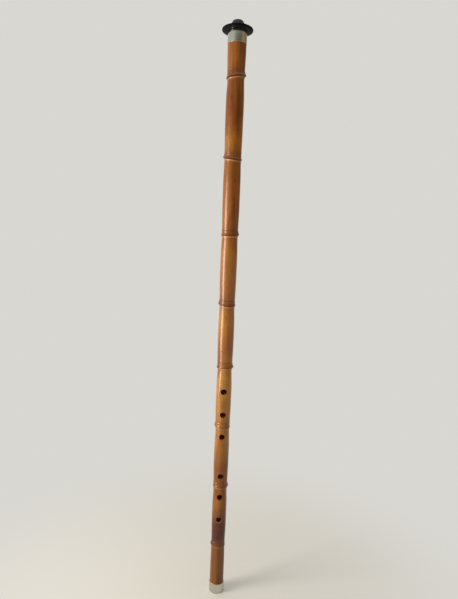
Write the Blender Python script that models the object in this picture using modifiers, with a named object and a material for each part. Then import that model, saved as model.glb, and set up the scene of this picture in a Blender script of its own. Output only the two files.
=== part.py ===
"""Ney: an end-blown flute cut from one giant-reed culm, with a metal ring on each end.

The flute stands upright on its foot at the origin, with the bore along Z and the six
finger holes facing -Y. A turned mouthpiece, lapped with waxed thread, plugs into the top.
Lengths are in metres and angles in degrees.
"""
import math

import bpy
from mathutils import Matrix

COLLECTION = "ney"
ROUND_SIDES = 28
MOUTHPIECE_SIDES = 40
HOLE_SIDES = 24
MERGE = 0.00001

# The maker cuts the culm to this length. The reed's top internode is what is left of it
# above the others, whose lengths, from the foot up, are as they grew.
REED_LENGTH = 0.804
INTERNODE_LENGTHS = (0.073, 0.0925, 0.0915, 0.088, 0.091, 0.098, 0.104, 0.108)

# The culm tapers evenly from end to end. Each internode starts at a narrow neck under the
# node above it, swells to its belly, and draws in to a waist before the next node's lip.
# Drops are on diameter, and each node's own neck is listed from the foot up.
CROWN_DIAMETER = 0.0253
FOOT_DIAMETER = 0.0203
NECK_DROPS = (0.0009, 0.0017, 0.0018, 0.0022, 0.0015, 0.0013, 0.0012, 0.0019)
NECK_DEPTH = 0.0040
WAIST_DROP = 0.0009
SWELL_LENGTH = 0.032
SWELL_STEPS = 4
WAIST_LENGTH = 0.026
WAIST_STEPS = 3

# Each node's lip, from the foot up: how far it stands over the culm's taper on diameter,
# how far it slants up towards its bud, and how far its front is raised.
LIP_OVERS = (0.0001, 0.0003, 0.0001, 0.0010, 0.0007, 0.0004, 0.0010, 0.0012)
LIP_SLANTS = (0.5, 0.5, 2.5, 1.0, 3.7, 1.2, 6.6, 8.0)
LIP_TILTS = (9.0, 8.0, 3.0, 6.0, -4.0, -1.0, -5.0, -2.0)
SLANT_REACH = 0.022

# Above the lip the wall swells out from a ring-shaped leaf scar. Below it the wall steps in
# to a crease and out again to a ridge, each a share of the step from the neck to the lip.
SCAR_HEIGHT = 0.0062
SCAR_GROOVE = 0.0005
LIP_RISE = 0.0034
LIP_EDGE = 0.0002
CREASE_DEPTH = 0.0007
CREASE_SHARE = 0.2
RIDGE_DEPTH = 0.0016
RIDGE_SHARE = 0.4
BUD_HEIGHT = 0.0011
BUD_SPREAD = 0.0030
BUD_RISE = 0.0022

# The bore follows the wall. What is left of each diaphragm is a ring with sloping sides,
# and the one under the mouthpiece is left narrower than the others.
CROWN_WALL = 0.0041
FOOT_WALL = 0.0032
DIAPHRAGM_OPENING = 0.0124
TOP_DIAPHRAGM_OPENING = 0.0108
DIAPHRAGM_THICKNESS = 0.0030
DIAPHRAGM_SLOPE = 0.0050

# A maker sets the finger holes near 4, 5, 6, 8, 9 and 10 parts of 26 of the flute's length,
# and the thumb hole at 13. Each step is from the hole below.
LOWEST_HOLE_HEIGHT = 0.1168
FINGER_HOLE_STEPS = (0.0350, 0.0318, 0.0600, 0.0331, 0.0343)
THUMB_HOLE_STEP = 0.0910
FINGER_HOLE_DIAMETER = 0.0083
THUMB_HOLE_DIAMETER = 0.0083

# A ring's outside stands over the culm's taper by this much on diameter.
SEAT_CLEARANCE = 0.0003
RING_WALL = 0.0006
RING_EDGE = 0.0002
TOP_RING_OVER = 0.0009
TOP_RING_LENGTH = 0.0155
FOOT_RING_OVER = 0.0019
FOOT_RING_LENGTH = 0.0140

# The brim's edge is rounded over its whole thickness, twice BRIM_EDGE. The cone on it flares
# in a cove from the brim, swells a little and rounds over to the blowing lip.
BRIM_DIAMETER = 0.0420
BRIM_HEIGHT = 0.0028
BRIM_EDGE = 0.0015
BRIM_CROWN = 0.0026
UNDERSIDE_SAG = 0.0002
CONE_BASE_DIAMETER = 0.0244
CONE_WAIST_DIAMETER = 0.0196
CONE_TOP_DIAMETER = 0.0142
CONE_HEIGHT = 0.0092
CONE_COVE = 0.0030
CONE_BULGE = 0.0007
LIP_LAND = 0.0012
BLOW_HOLE_THROAT = 0.0094
FUNNEL_DEPTH = 0.0090

SOCKET_FIT = 0.0003
SOCKET_SPARE = 0.0032
TENON_DIAMETER = 0.0158
TENON_LENGTH = 0.0190
TENON_CHAMFER = 0.0008
LAPPING_LENGTH = 0.0125
LAPPING_OFFSET = 0.0030
LAPPING_GROOVE = 0.0006
LAPPING_ROUND = 0.0004


def collection(name):
    """Return a new collection linked to the scene."""
    made = bpy.data.collections.new(name)
    bpy.context.scene.collection.children.link(made)
    return made


def material(name, colour, roughness, metallic=0.0):
    made = bpy.data.materials.new(name)
    made.use_nodes = True
    shader = made.node_tree.nodes["Principled BSDF"]
    shader.inputs["Base Color"].default_value = (*colour, 1.0)
    shader.inputs["Roughness"].default_value = roughness
    shader.inputs["Metallic"].default_value = metallic
    made.diffuse_color = (*colour, 1.0)
    return made


def ease(share):
    """Rise smoothly from 0 to 1."""
    return 0.5 - 0.5 * math.cos(math.pi * min(max(share, 0.0), 1.0))


def bend(start, corner, end, steps):
    """Points after start on the curve that leaves it towards the corner and ends at end."""
    points = []
    for step in range(1, steps + 1):
        share = step / steps
        points.append(tuple(
            a * (1 - share) ** 2 + b * 2 * share * (1 - share) + c * share ** 2
            for a, b, c in zip(start, corner, end)
        ))
    return points


def turned(name, profile, sides, target):
    """Turn a closed profile of (radius, height) points about Z into one closed mesh.

    The profile runs down its outer side and up its inner side.
    """
    outline = bpy.data.meshes.new(name + "_profile")
    count = len(profile)
    edges = [(point, (point + 1) % count) for point in range(count)]
    outline.from_pydata([(radius, 0, height) for radius, height in profile], edges, [])
    obj = bpy.data.objects.new(name, outline)
    target.objects.link(obj)
    screw = obj.modifiers.new("turn", "SCREW")
    screw.axis = "Z"
    screw.steps = sides
    screw.render_steps = sides
    screw.use_merge_vertices = True
    screw.merge_threshold = MERGE
    return obj


def frozen(obj):
    """Give the object the mesh that its modifiers make, and take the modifiers off."""
    evaluated = obj.evaluated_get(bpy.context.evaluated_depsgraph_get())
    mesh = bpy.data.meshes.new_from_object(evaluated)
    mesh.name = obj.name
    outline = obj.data
    obj.modifiers.clear()
    obj.data = mesh
    bpy.data.meshes.remove(outline)
    return obj


def smooth(obj, angle=35):
    obj.data.shade_smooth()
    obj.data.set_sharp_from_angle(angle=math.radians(angle))


def culm_radius(height):
    """Radius of the culm's bellies at a height, on its even taper."""
    share = height / REED_LENGTH
    return (FOOT_DIAMETER + (CROWN_DIAMETER - FOOT_DIAMETER) * share) / 2


def bore_radius(height):
    share = height / REED_LENGTH
    return culm_radius(height) - (FOOT_WALL + (CROWN_WALL - FOOT_WALL) * share)


def socket_radius():
    """The reed's socket fits over the lapped tenon."""
    return TENON_DIAMETER / 2 + LAPPING_ROUND + SOCKET_FIT


def socket_foot():
    return REED_LENGTH - TENON_LENGTH - SOCKET_SPARE


def top_ring_radius():
    return culm_radius(REED_LENGTH) + TOP_RING_OVER / 2


def foot_ring_radius():
    return culm_radius(0) + FOOT_RING_OVER / 2


def seat_radius(ring_radius):
    """The reed is turned down to this where a ring goes on."""
    return ring_radius - RING_WALL - SEAT_CLEARANCE


def node_heights():
    """Heights of the lips above the foot, lowest first, as far as they clear the socket."""
    heights = []
    height = 0.0
    for length in INTERNODE_LENGTHS:
        height += length
        if height + SLANT_REACH < socket_foot():
            heights.append(height)
    return heights


def waist_points(node, belly):
    """Outer points from the belly of an internode down to the scar over its lower node."""
    scar_top = node + SCAR_HEIGHT + SCAR_GROOVE * 4
    waist_start = min(scar_top + WAIST_LENGTH, belly - WAIST_LENGTH / 2)
    points = []
    for step in range(WAIST_STEPS + 1):
        share = step / WAIST_STEPS
        height = waist_start + (scar_top - waist_start) * share
        points.append((culm_radius(height) - WAIST_DROP / 2 * ease(share), height))
    return points


def node_points(node, lip_over, neck_drop):
    """Outer points of one node, from the scar ring over its lip to the ridge under it."""
    waist = culm_radius(node) - WAIST_DROP / 2
    lip = culm_radius(node) + lip_over / 2
    neck = culm_radius(node) - neck_drop / 2
    points = [
        (waist - SCAR_GROOVE / 2, node + SCAR_HEIGHT + SCAR_GROOVE),
        (waist + SCAR_GROOVE / 2, node + SCAR_HEIGHT - SCAR_GROOVE),
        (waist, node + LIP_RISE),
    ]
    points += bend(points[-1], (lip, node + LIP_RISE / 3), (lip, node), 2)
    points += [
        (lip - LIP_EDGE, node - LIP_EDGE),
        (neck + (lip - neck) * CREASE_SHARE, node - CREASE_DEPTH),
        (neck + (lip - neck) * RIDGE_SHARE, node - RIDGE_DEPTH),
    ]
    return points


def swell_points(node, neck_drop):
    """Outer points from the neck under a node down to the belly of the next internode."""
    points = []
    for step in range(SWELL_STEPS + 1):
        share = step / SWELL_STEPS
        height = node - NECK_DEPTH - SWELL_LENGTH * share
        points.append((culm_radius(height) - neck_drop / 2 * (1 - ease(share)), height))
    return points


def diaphragm_points(node, opening):
    """Bore points up through what is left of a node's diaphragm."""
    half = DIAPHRAGM_THICKNESS / 2
    reach = half + DIAPHRAGM_SLOPE
    return [
        (bore_radius(node - reach), node - reach),
        (opening / 2, node - half),
        (opening / 2, node + half),
        (bore_radius(node + reach), node + reach),
    ]


def reed_profile():
    """Closed profile of the culm's wall: down the outside, then up the bore."""
    nodes = node_heights()
    shoulder = REED_LENGTH - TOP_RING_LENGTH - SEAT_CLEARANCE
    heel = FOOT_RING_LENGTH + SEAT_CLEARANCE
    top_seat = seat_radius(top_ring_radius())
    foot_seat = seat_radius(foot_ring_radius())

    outer = [(top_seat, REED_LENGTH), (top_seat, shoulder), (culm_radius(shoulder), shoulder)]
    belly = shoulder
    for node, lip_over, neck_drop in reversed(list(zip(nodes, LIP_OVERS, NECK_DROPS))):
        outer += waist_points(node, belly)
        outer += node_points(node, lip_over, neck_drop)
        outer += swell_points(node, neck_drop)
        belly = outer[-1][1]
    outer += [(culm_radius(heel), heel), (foot_seat, heel), (foot_seat, 0)]

    bore = [(bore_radius(0), 0)]
    for node in nodes[:-1]:
        bore += diaphragm_points(node, DIAPHRAGM_OPENING)
    bore += diaphragm_points(nodes[-1], TOP_DIAPHRAGM_OPENING)
    bore += [(socket_radius(), socket_foot()), (socket_radius(), REED_LENGTH)]
    return outer + bore


def grow_nodes(mesh):
    """Slant each node's rings towards its bud, and raise the bud where a leaf grew.

    The buds alternate from side to side up the culm.
    """
    for vertex in mesh.vertices:
        x, y, z = vertex.co
        radius = math.hypot(x, y)
        in_bore = radius < (bore_radius(z) + culm_radius(z)) / 2
        for index, node in enumerate(node_heights()):
            side = 1 if index % 2 else -1
            share = 1 - abs(z - node) / SLANT_REACH
            if share <= 0:
                continue
            slant = math.tan(math.radians(LIP_SLANTS[index])) * side * x
            tilt = -math.tan(math.radians(LIP_TILTS[index])) * y
            vertex.co.z = z + (slant + tilt) * ease(share)
            if in_bore:
                continue
            away = (side * x - radius, y, z - node - BUD_RISE)
            near = math.exp(-sum(part * part for part in away) / BUD_SPREAD ** 2)
            vertex.co.x += BUD_HEIGHT * near * x / radius
            vertex.co.y += BUD_HEIGHT * near * y / radius


def hole_cutter(name, height, diameter, side, target):
    """A bar through one wall of the reed, from the bore out past the lip's height."""
    reach = CROWN_DIAMETER
    bpy.ops.mesh.primitive_cylinder_add(vertices=HOLE_SIDES, radius=diameter / 2, depth=reach)
    cutter = bpy.context.active_object
    cutter.name = name
    cutter.data.transform(Matrix.Translation((0, 0, reach / 2)))
    cutter.rotation_euler = (math.radians(90 * side), 0, 0)
    cutter.location = (0, 0, height)
    for holder in cutter.users_collection:
        holder.objects.unlink(cutter)
    target.objects.link(cutter)
    cutter.hide_render = True
    cutter.display_type = "WIRE"
    return cutter


def make_reed(parts, cutters):
    reed = turned("reed_body", reed_profile(), ROUND_SIDES, parts)
    frozen(reed)
    grow_nodes(reed.data)
    reed.data.materials.append(material("varnished_reed", (0.42, 0.17, 0.035), 0.32))
    holes = []
    height = LOWEST_HOLE_HEIGHT
    for number, step in enumerate((0, *FINGER_HOLE_STEPS), start=1):
        height += step
        holes.append(
            hole_cutter(f"finger_hole_{number}", height, FINGER_HOLE_DIAMETER, 1, cutters)
        )
    height += THUMB_HOLE_STEP
    holes.append(hole_cutter("thumb_hole", height, THUMB_HOLE_DIAMETER, -1, cutters))
    for cutter in holes:
        cut = reed.modifiers.new(cutter.name, "BOOLEAN")
        cut.operation = "DIFFERENCE"
        cut.object = cutter
        cut.solver = "EXACT"
    smooth(reed)


def make_ring(name, outer, bottom, top, parts):
    """A drawn tube with its outer edges eased, slipped over the end of the reed."""
    inner = outer - RING_WALL
    profile = [
        (inner, top),
        (outer - RING_EDGE, top),
        (outer, top - RING_EDGE),
        (outer, bottom + RING_EDGE),
        (outer - RING_EDGE, bottom),
        (inner, bottom),
    ]
    ring = turned(name, profile, ROUND_SIDES, parts)
    frozen(ring)
    ring.data.materials.append(material(name + "_nickel_silver", (0.56, 0.54, 0.48), 0.22, 1.0))
    smooth(ring)


def brim_points(widest, cone_foot):
    """From the cone's foot out over the brim, round its edge and in to the seat on the ring."""
    base = CONE_BASE_DIAMETER / 2
    edge = BRIM_DIAMETER / 2
    inset = edge - BRIM_EDGE
    above = widest + BRIM_EDGE
    below = widest - BRIM_EDGE
    seat = (top_ring_radius() - RING_EDGE, REED_LENGTH + SEAT_CLEARANCE)
    sagged = ((inset + seat[0]) / 2, (below + seat[1]) / 2 - UNDERSIDE_SAG * 2)
    points = [(base, cone_foot)]
    points += bend((base, cone_foot), ((base + inset) / 2, cone_foot), (inset, above), 3)
    points += bend((inset, above), (edge, above), (edge, widest), 2)
    points += bend((edge, widest), (edge, below), (inset, below), 2)
    points += bend((inset, below), sagged, seat, 3)
    return points


def mouthpiece_profile():
    """Down the outside from the blow hole's rim to the tenon, then up the throat."""
    widest = REED_LENGTH + BRIM_HEIGHT
    cone_foot = widest + BRIM_CROWN
    cove = cone_foot + CONE_COVE
    rim = cone_foot + CONE_HEIGHT
    cone_top = CONE_TOP_DIAMETER / 2
    cone_waist = CONE_WAIST_DIAMETER / 2
    mouth = cone_top - LIP_LAND
    outer = [(mouth, rim)]
    outer += bend((mouth, rim), (cone_top, rim), (cone_top, rim - LIP_LAND), 2)
    swell = ((cone_top + cone_waist) / 2 + CONE_BULGE, (rim - LIP_LAND + cove) / 2 + CONE_BULGE)
    outer += bend((cone_top, rim - LIP_LAND), swell, (cone_waist, cove), 3)
    outer += bend((cone_waist, cove), (cone_waist, cone_foot), (CONE_BASE_DIAMETER / 2, cone_foot), 2)
    outer += brim_points(widest, cone_foot)[1:]

    tenon = TENON_DIAMETER / 2
    groove = tenon - LAPPING_GROOVE
    lapping_top = REED_LENGTH - LAPPING_OFFSET
    lapping_foot = lapping_top - LAPPING_LENGTH
    tenon_foot = REED_LENGTH - TENON_LENGTH
    outer += [
        (tenon, REED_LENGTH + SEAT_CLEARANCE),
        (tenon, lapping_top),
        (groove, lapping_top),
        (groove, lapping_foot),
        (tenon, lapping_foot),
        (tenon, tenon_foot + TENON_CHAMFER),
        (tenon - TENON_CHAMFER, tenon_foot),
    ]

    throat = BLOW_HOLE_THROAT / 2
    funnel_foot = rim - FUNNEL_DEPTH
    inner = [(throat, tenon_foot), (throat, funnel_foot)]
    inner += bend((throat, funnel_foot), (throat, rim - FUNNEL_DEPTH / 2), (mouth, rim), 4)[:-1]
    return outer + inner


def make_mouthpiece(parts):
    mouthpiece = turned("mouthpiece", mouthpiece_profile(), MOUTHPIECE_SIDES, parts)
    frozen(mouthpiece)
    mouthpiece.data.materials.append(material("polished_black_horn", (0.012, 0.012, 0.014), 0.3))
    smooth(mouthpiece)


def make_lapping(parts):
    """Waxed thread wound in the tenon's groove, a little proud of the tenon."""
    inner = TENON_DIAMETER / 2 - LAPPING_GROOVE + SEAT_CLEARANCE
    outer = TENON_DIAMETER / 2 + LAPPING_ROUND
    top = REED_LENGTH - LAPPING_OFFSET - SEAT_CLEARANCE
    bottom = REED_LENGTH - LAPPING_OFFSET - LAPPING_LENGTH + SEAT_CLEARANCE
    profile = [
        (inner, top),
        (outer - LAPPING_ROUND, top),
        (outer, top - LAPPING_ROUND),
        (outer, bottom + LAPPING_ROUND),
        (outer - LAPPING_ROUND, bottom),
        (inner, bottom),
    ]
    lapping = turned("tenon_winding", profile, ROUND_SIDES, parts)
    frozen(lapping)
    lapping.data.materials.append(material("waxed_thread", (0.55, 0.42, 0.24), 0.8))
    smooth(lapping)


for old in list(bpy.data.objects):
    bpy.data.objects.remove(old, do_unlink=True)

part_collection = collection(COLLECTION)
cutter_collection = collection("cutters")
make_reed(part_collection, cutter_collection)
make_ring("top_ferrule", top_ring_radius(), REED_LENGTH - TOP_RING_LENGTH, REED_LENGTH, part_collection)
make_ring("bottom_ferrule", foot_ring_radius(), 0, FOOT_RING_LENGTH, part_collection)
make_lapping(part_collection)
make_mouthpiece(part_collection)
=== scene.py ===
"""Ney: a toasted and varnished giant-reed flute with two metal rings and a black mouthpiece."""
import math

import bmesh
import bpy
from mathutils import Matrix, Vector


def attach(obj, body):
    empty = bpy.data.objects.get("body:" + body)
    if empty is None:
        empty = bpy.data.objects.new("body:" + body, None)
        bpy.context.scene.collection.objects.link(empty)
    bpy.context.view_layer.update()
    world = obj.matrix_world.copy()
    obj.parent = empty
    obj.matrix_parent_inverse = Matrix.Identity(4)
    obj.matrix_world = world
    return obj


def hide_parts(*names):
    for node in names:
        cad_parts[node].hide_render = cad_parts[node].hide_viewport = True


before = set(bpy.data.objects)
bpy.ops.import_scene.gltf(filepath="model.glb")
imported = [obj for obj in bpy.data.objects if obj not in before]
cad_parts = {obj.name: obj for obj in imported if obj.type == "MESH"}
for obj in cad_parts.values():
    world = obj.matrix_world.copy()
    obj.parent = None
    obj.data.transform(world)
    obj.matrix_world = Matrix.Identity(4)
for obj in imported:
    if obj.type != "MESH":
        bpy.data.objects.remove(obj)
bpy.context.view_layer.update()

# The reed is one giant-reed culm with eight nodes, cut to length, toasted over a flame and
# varnished. It is grown, so every node has its own slant, lip and bud, and the buds change
# sides up the culm. The bore is rodded through, which leaves a ring of each diaphragm.
REED_LENGTH = 0.804
CROWN_DIAMETER = 0.0253
FOOT_DIAMETER = 0.0203
CROWN_WALL = 0.0041
FOOT_WALL = 0.0032
# From the foot up: each node's lip height, slant to its bud, tilt to the front, how far the
# lip stands over the culm and how far the neck under it draws in, both on diameter.
NODES = (
    (0.0730, 0.5, 9.0, 0.0001, 0.0009),
    (0.1655, 0.5, 8.0, 0.0003, 0.0017),
    (0.2570, 2.5, 3.0, 0.0001, 0.0018),
    (0.3450, 1.0, 6.0, 0.0010, 0.0022),
    (0.4360, 3.7, -4.0, 0.0007, 0.0015),
    (0.5340, 1.2, -1.0, 0.0004, 0.0013),
    (0.6380, 6.6, -5.0, 0.0010, 0.0012),
    (0.7460, 8.0, -2.0, 0.0012, 0.0019),
)
REED_SIDES = 88
REED_ROWS = 84
# Rows of an internode's mesh: this share follows the lip, and from that share on the neck.
LIP_ROWS_END = 0.34
NECK_ROWS_START = 0.64
# How far up or down from a lip its forms reach.
LIP_ZONE = 0.0095
NECK_ZONE = 0.0056
LIP_REACH = 0.0036
LIP_UNDERSIDE = 0.0007
SLANT_REACH = 0.022
WAIST_START = 0.008
WAIST_REACH = 0.034
NECK_REACH = 0.036
WAIST_DROP = 0.0009
SCAR_RELIEF = 0.45
BUD_HEIGHT = 0.0011
BUD_SPREAD = 0.0030
BUD_RISE = 0.0022
WOBBLE = 0.00013
WOBBLES_PER_METRE = 22.0
WOBBLE_FADE = 0.01
WOBBLE_SEED = 3.7
SEAT_CLEARANCE = 0.0003
RING_WALL = 0.0006
TOP_RING_LENGTH = 0.0155
FOOT_RING_LENGTH = 0.0140
TOP_RING_RADIUS = CROWN_DIAMETER / 2 + 0.00045
FOOT_RING_RADIUS = FOOT_DIAMETER / 2 + 0.00095
SOCKET_RADIUS = 0.0086
SOCKET_DEPTH = 0.0222
DIAPHRAGM_OPENING = 0.0124
TOP_DIAPHRAGM_OPENING = 0.0108
DIAPHRAGM_HALF = 0.0015
DIAPHRAGM_CORNER = 0.0040
DIAPHRAGM_REACH = 0.0065
DIAPHRAGM_CROWN = 0.0002


def linear(hex_colour, alpha=1.0):
    """Turn an sRGB hex colour into the linear values that sockets take."""
    channels = []
    for start in (1, 3, 5):
        part = int(hex_colour[start:start + 2], 16) / 255
        channels.append(part / 12.92 if part <= 0.04045 else ((part + 0.055) / 1.055) ** 2.4)
    return (*channels, alpha)


def add_node(tree, kind, inputs=None, **settings):
    """Add a node with its settings, and link or set its inputs by name or number."""
    made = tree.nodes.new(kind)
    for name, value in settings.items():
        setattr(made, name, value)
    for key, value in (inputs or {}).items():
        if isinstance(value, bpy.types.Node):
            value = value.outputs[0]
        if isinstance(value, bpy.types.NodeSocket):
            tree.links.new(value, made.inputs[key])
        else:
            made.inputs[key].default_value = value
    return made


def set_curve(curve_node, points):
    """Give a Float Curve its points, the first and the last on the two it starts with."""
    curve = curve_node.mapping.curves[0]
    for point, place in zip((curve.points[0], curve.points[-1]), (points[0], points[-1])):
        point.location = place
    for place in points[1:-1]:
        curve.points.new(*place)
    curve_node.mapping.update()


def grow_internode_tree():
    """One internode with the lip under it and the neck over it, from named sizes."""
    tree = bpy.data.node_groups.new("grow_internode", "GeometryNodeTree")
    tree.is_modifier = True
    tree.interface.new_socket("Geometry", in_out="OUTPUT", socket_type="NodeSocketGeometry")
    sizes = (
        "Lower Lip", "Upper Lip", "Lower Slant", "Upper Slant", "Lower Tilt", "Upper Tilt",
        "Lower Over", "Upper Over", "Lower Side", "Upper Side", "Waist Drop", "Neck Drop",
        "Foot Radius", "Crown Radius", "Reed Length", "Seed",
    )
    for size in sizes:
        tree.interface.new_socket(size, in_out="INPUT", socket_type="NodeSocketFloat")
    tree.interface.new_socket("Material", in_out="INPUT", socket_type="NodeSocketMaterial")
    given = add_node(tree, "NodeGroupInput").outputs

    grid = add_node(tree, "GeometryNodeMeshGrid", {
        "Size X": 1.0, "Size Y": 1.0, "Vertices X": REED_SIDES + 1, "Vertices Y": REED_ROWS,
    })
    place = add_node(tree, "ShaderNodeSeparateXYZ", {0: add_node(tree, "GeometryNodeInputPosition")})
    around = add_node(tree, "ShaderNodeMath", {0: place.outputs["X"], 1: 0.5}, operation="ADD")
    angle = add_node(tree, "ShaderNodeMath", {0: around, 1: math.tau}, operation="MULTIPLY")
    up = add_node(tree, "ShaderNodeMath", {0: place.outputs["Y"], 1: 0.5}, operation="ADD")
    length = add_node(tree, "ShaderNodeMath", {0: given["Upper Lip"], 1: given["Lower Lip"]},
                      operation="SUBTRACT")
    middle = add_node(tree, "ShaderNodeMath", {0: length, 1: LIP_ZONE + NECK_ZONE}, operation="SUBTRACT")
    # A third of the rows follow the lip, a third the belly and a third the neck.
    lip_rows = add_node(tree, "ShaderNodeMapRange", {
        "Value": up, "From Min": 0.0, "From Max": LIP_ROWS_END, "To Min": 0.0, "To Max": LIP_ZONE})
    belly_rows = add_node(tree, "ShaderNodeMapRange", {
        "Value": up, "From Min": LIP_ROWS_END, "From Max": NECK_ROWS_START,
        "To Min": 0.0, "To Max": middle})
    neck_rows = add_node(tree, "ShaderNodeMapRange", {
        "Value": up, "From Min": NECK_ROWS_START, "From Max": 1.0,
        "To Min": 0.0, "To Max": NECK_ZONE})
    above = add_node(tree, "ShaderNodeMath", {0: lip_rows, 1: belly_rows}, operation="ADD")
    above = add_node(tree, "ShaderNodeMath", {0: above, 1: neck_rows}, operation="ADD")
    below = add_node(tree, "ShaderNodeMath", {0: length, 1: above}, operation="SUBTRACT")
    height = add_node(tree, "ShaderNodeMath", {0: given["Lower Lip"], 1: above}, operation="ADD")

    taper = add_node(tree, "ShaderNodeMapRange", {
        "Value": height, "From Min": 0.0, "From Max": given["Reed Length"],
        "To Min": given["Foot Radius"], "To Max": given["Crown Radius"]})

    # Shares of the lip's swell, the leaf scar and the neck's step, by distance from the lip.
    lip_share = add_node(tree, "ShaderNodeFloatCurve", {"Value": add_node(
        tree, "ShaderNodeMath", {0: above, 1: LIP_REACH}, operation="DIVIDE")})
    set_curve(lip_share, ((0.0, 1.0), (0.12, 0.98), (0.4, 0.74), (0.7, 0.25), (1.0, 0.0)))
    scar_share = add_node(tree, "ShaderNodeFloatCurve", {"Value": add_node(
        tree, "ShaderNodeMath", {0: above, 1: LIP_ZONE}, operation="DIVIDE")})
    set_curve(scar_share, ((0.0, 0.5), (0.42, 0.5), (0.52, 0.56), (0.6, 0.78), (0.66, 0.62),
                           (0.71, 0.12), (0.76, 0.08), (0.86, 0.46), (1.0, 0.5)))
    waist_share = add_node(tree, "ShaderNodeMapRange", {
        "Value": above, "From Min": WAIST_START, "From Max": WAIST_REACH,
        "To Min": 1.0, "To Max": 0.0},
        interpolation_type="SMOOTHSTEP")
    under_share = add_node(tree, "ShaderNodeMapRange", {
        "Value": below, "From Min": 0.0, "From Max": LIP_UNDERSIDE, "To Min": 1.0, "To Max": 0.0},
        interpolation_type="SMOOTHSTEP")
    step_share = add_node(tree, "ShaderNodeFloatCurve", {"Value": add_node(
        tree, "ShaderNodeMath", {0: below, 1: NECK_ZONE}, operation="DIVIDE")})
    set_curve(step_share, ((0.0, 0.0), (0.03, 0.1), (0.09, 0.72), (0.14, 0.86), (0.2, 0.7),
                           (0.28, 0.58), (0.36, 0.66), (0.5, 0.9), (0.72, 1.0), (1.0, 1.0)))
    ease_share = add_node(tree, "ShaderNodeMapRange", {
        "Value": below, "From Min": NECK_ZONE, "From Max": NECK_REACH, "To Min": 1.0, "To Max": 0.0},
        interpolation_type="SMOOTHSTEP")

    radius = taper
    swell = add_node(tree, "ShaderNodeMath", {0: given["Lower Over"], 1: given["Waist Drop"]},
                     operation="ADD")
    scar = add_node(tree, "ShaderNodeMath", {0: scar_share, 1: 0.5}, operation="SUBTRACT")
    scar = add_node(tree, "ShaderNodeMath", {0: scar, 1: given["Waist Drop"]}, operation="MULTIPLY")
    step = add_node(tree, "ShaderNodeMath", {0: step_share, 1: ease_share}, operation="MULTIPLY")
    for share, size in ((lip_share, swell), (under_share, given["Upper Over"])):
        half = add_node(tree, "ShaderNodeMath", {0: size, 1: 0.5}, operation="MULTIPLY")
        grown = add_node(tree, "ShaderNodeMath", {0: share, 1: half}, operation="MULTIPLY")
        radius = add_node(tree, "ShaderNodeMath", {0: radius, 1: grown}, operation="ADD")
    for share, size in ((waist_share, given["Waist Drop"]), (step, given["Neck Drop"])):
        half = add_node(tree, "ShaderNodeMath", {0: size, 1: 0.5}, operation="MULTIPLY")
        drawn = add_node(tree, "ShaderNodeMath", {0: share, 1: half}, operation="MULTIPLY")
        radius = add_node(tree, "ShaderNodeMath", {0: radius, 1: drawn}, operation="SUBTRACT")
    scar = add_node(tree, "ShaderNodeMath", {0: scar, 1: SCAR_RELIEF}, operation="MULTIPLY")
    radius = add_node(tree, "ShaderNodeMath", {0: radius, 1: scar}, operation="ADD")

    # A grown culm is never quite round: a slow noise moves its wall by a tenth of a millimetre.
    cosine = add_node(tree, "ShaderNodeMath", {0: angle}, operation="COSINE")
    sine = add_node(tree, "ShaderNodeMath", {0: angle}, operation="SINE")
    wobble_place = add_node(tree, "ShaderNodeCombineXYZ", {
        "X": cosine, "Y": sine, "Z": add_node(tree, "ShaderNodeMath", {0: height, 1: WOBBLES_PER_METRE},
                                              operation="MULTIPLY")})
    wobble = add_node(tree, "ShaderNodeTexNoise", {
        "Vector": wobble_place, "W": given["Seed"], "Scale": 0.8, "Detail": 2.0}, noise_dimensions="4D")
    wobble = add_node(tree, "ShaderNodeMapRange", {
        "Value": wobble.outputs[0], "From Min": 0.25, "From Max": 0.75,
        "To Min": -WOBBLE, "To Max": WOBBLE})
    end_low = add_node(tree, "ShaderNodeMapRange", {
        "Value": height, "From Min": FOOT_RING_LENGTH, "From Max": FOOT_RING_LENGTH + WOBBLE_FADE})
    end_high = add_node(tree, "ShaderNodeMapRange", {
        "Value": height, "From Min": REED_LENGTH - TOP_RING_LENGTH,
        "From Max": REED_LENGTH - TOP_RING_LENGTH - WOBBLE_FADE})
    wobble = add_node(tree, "ShaderNodeMath", {0: wobble, 1: end_low}, operation="MULTIPLY")
    wobble = add_node(tree, "ShaderNodeMath", {0: wobble, 1: end_high}, operation="MULTIPLY")
    radius = add_node(tree, "ShaderNodeMath", {0: radius, 1: wobble}, operation="ADD")
    x = add_node(tree, "ShaderNodeMath", {0: cosine, 1: radius}, operation="MULTIPLY")
    y = add_node(tree, "ShaderNodeMath", {0: sine, 1: radius}, operation="MULTIPLY")

    # Each lip slants up to its bud and tilts, and the bud swells the wall just over the lip.
    lifted = height
    bud_total = None
    for end, distance in (("Lower", above), ("Upper", below)):
        near = add_node(tree, "ShaderNodeMapRange", {
            "Value": distance, "From Min": 0.0, "From Max": SLANT_REACH, "To Min": 1.0, "To Max": 0.0},
            interpolation_type="SMOOTHSTEP")
        slope = add_node(tree, "ShaderNodeMath", {0: add_node(
            tree, "ShaderNodeMath", {0: given[end + " Slant"]}, operation="RADIANS")}, operation="TANGENT")
        slope = add_node(tree, "ShaderNodeMath", {0: slope, 1: given[end + " Side"]}, operation="MULTIPLY")
        slant = add_node(tree, "ShaderNodeMath", {0: slope, 1: x}, operation="MULTIPLY")
        pitch = add_node(tree, "ShaderNodeMath", {0: add_node(
            tree, "ShaderNodeMath", {0: given[end + " Tilt"]}, operation="RADIANS")}, operation="TANGENT")
        tilt = add_node(tree, "ShaderNodeMath", {0: pitch, 1: y}, operation="MULTIPLY")
        both = add_node(tree, "ShaderNodeMath", {0: slant, 1: tilt}, operation="SUBTRACT")
        both = add_node(tree, "ShaderNodeMath", {0: both, 1: near}, operation="MULTIPLY")
        lifted = add_node(tree, "ShaderNodeMath", {0: lifted, 1: both}, operation="ADD")

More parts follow.
